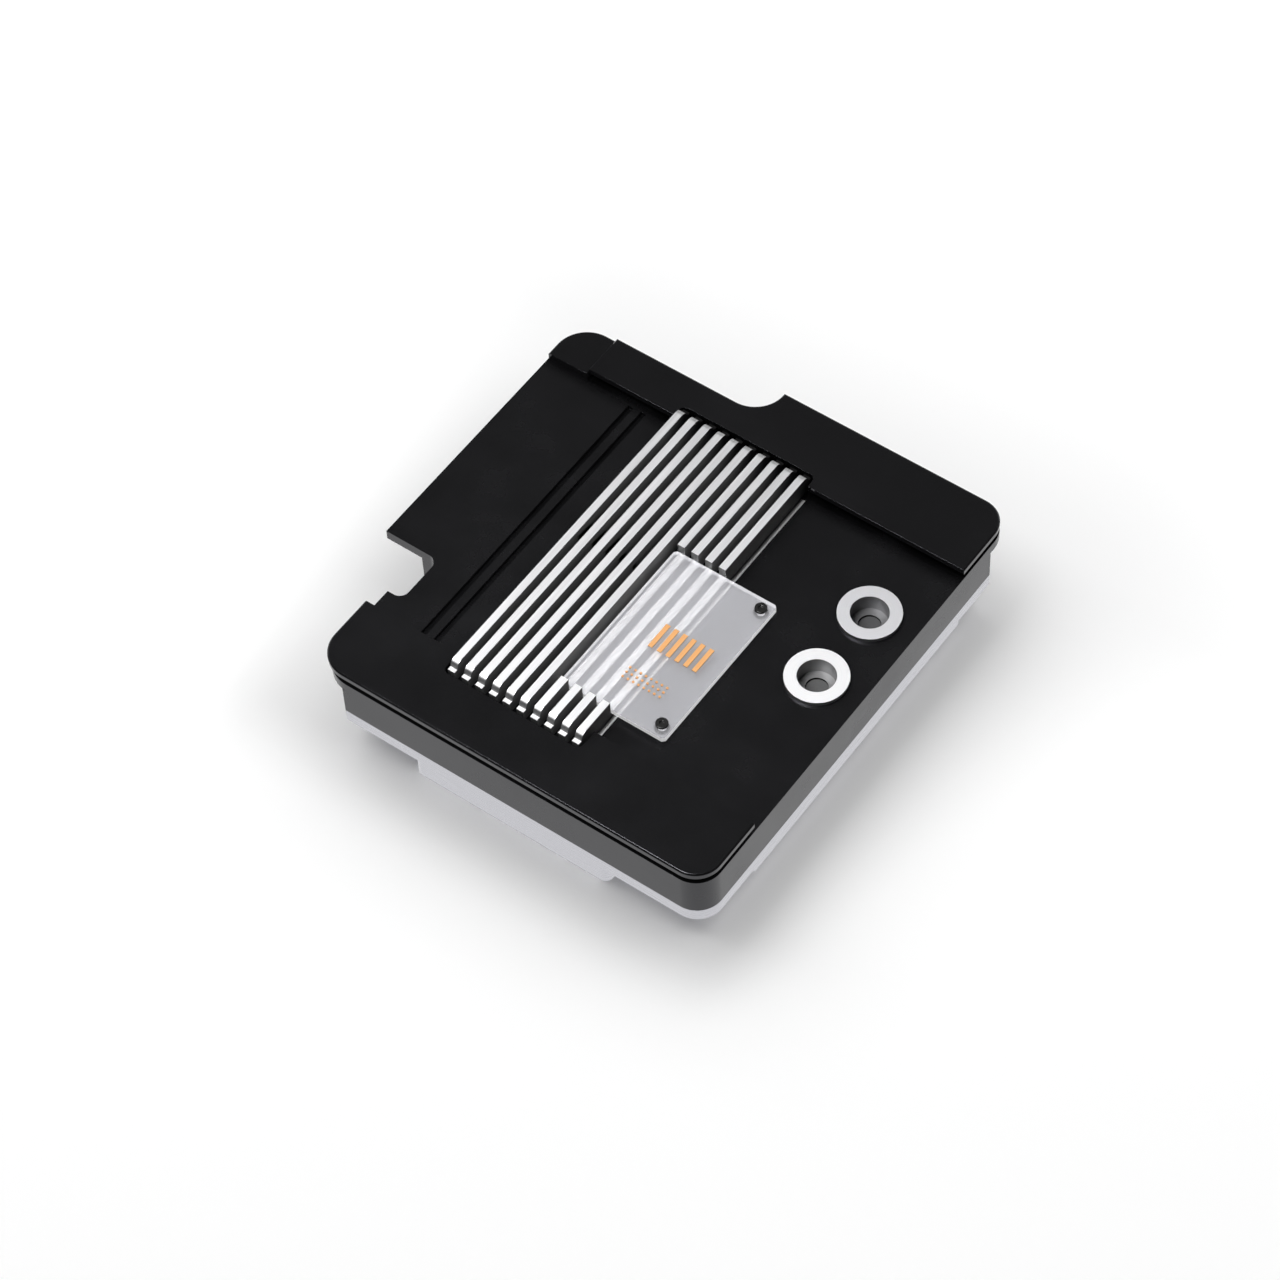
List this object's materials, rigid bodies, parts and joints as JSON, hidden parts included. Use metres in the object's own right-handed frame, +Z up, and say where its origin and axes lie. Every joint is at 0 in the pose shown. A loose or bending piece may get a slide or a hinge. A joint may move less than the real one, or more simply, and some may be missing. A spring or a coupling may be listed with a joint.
{
  "type": "liquid cooling cold plate",
  "caption": "Flat liquid cooling cold plate: metal contact plate with finned chamber under a black manifold body with two ports, covers, bright rib bars and a clear name plate.",
  "frame": {"origin": "centre of the outline in plan, at the height of the pedestal's contact face", "axes": "+Z up from the contact face to the ports, +Y along the ribs towards the stepped back edge, +X towards the side with the ports"},
  "size_m": [0.1698, 0.1776, 0.0359],
  "materials": {
    "nickel_plate": "nickel plating, satin",
    "black_body": "black acetal, fine satin",
    "black_cover": "black acetal, fine satin",
    "bright_metal": "bright brushed",
    "clear_acrylic": "clear, polished edges",
    "copper_ink": "copper orange, satin",
    "black_screw": "black oxide",
    "port_nickel": "turned, nickel plated",
    "seal_rubber": "matte",
    "steel": "plain",
    "brass": "plain"
  },
  "bodies": {
    "root": {"cold_plate": "nickel_plate", "manifold_body": "black_body", "front_cover": "black_cover", "rear_cover": "black_cover", "corner_cover": "black_cover", "rib_bars": "bright_metal", "side_rails": "bright_metal", "name_plate": "clear_acrylic", "name_plate_inlay": "copper_ink", "name_plate_screws": "black_screw", "name_plate_spacers": "black_cover", "inlet_port": "port_nickel", "outlet_port": "port_nickel", "inlet_port_seal": "seal_rubber", "outlet_port_seal": "seal_rubber", "flow_plate": "steel", "flow_gasket": "seal_rubber", "flow_plate_screws": "steel", "main_seal": "seal_rubber", "base_screws": "steel", "base_screw_inserts": "brass", "locating_pins": "steel", "mount_inserts": "steel", "front_cover_screws": "black_screw", "rear_cover_screws": "black_screw", "corner_cover_screws": "black_screw"}
  },
  "joints": []
}
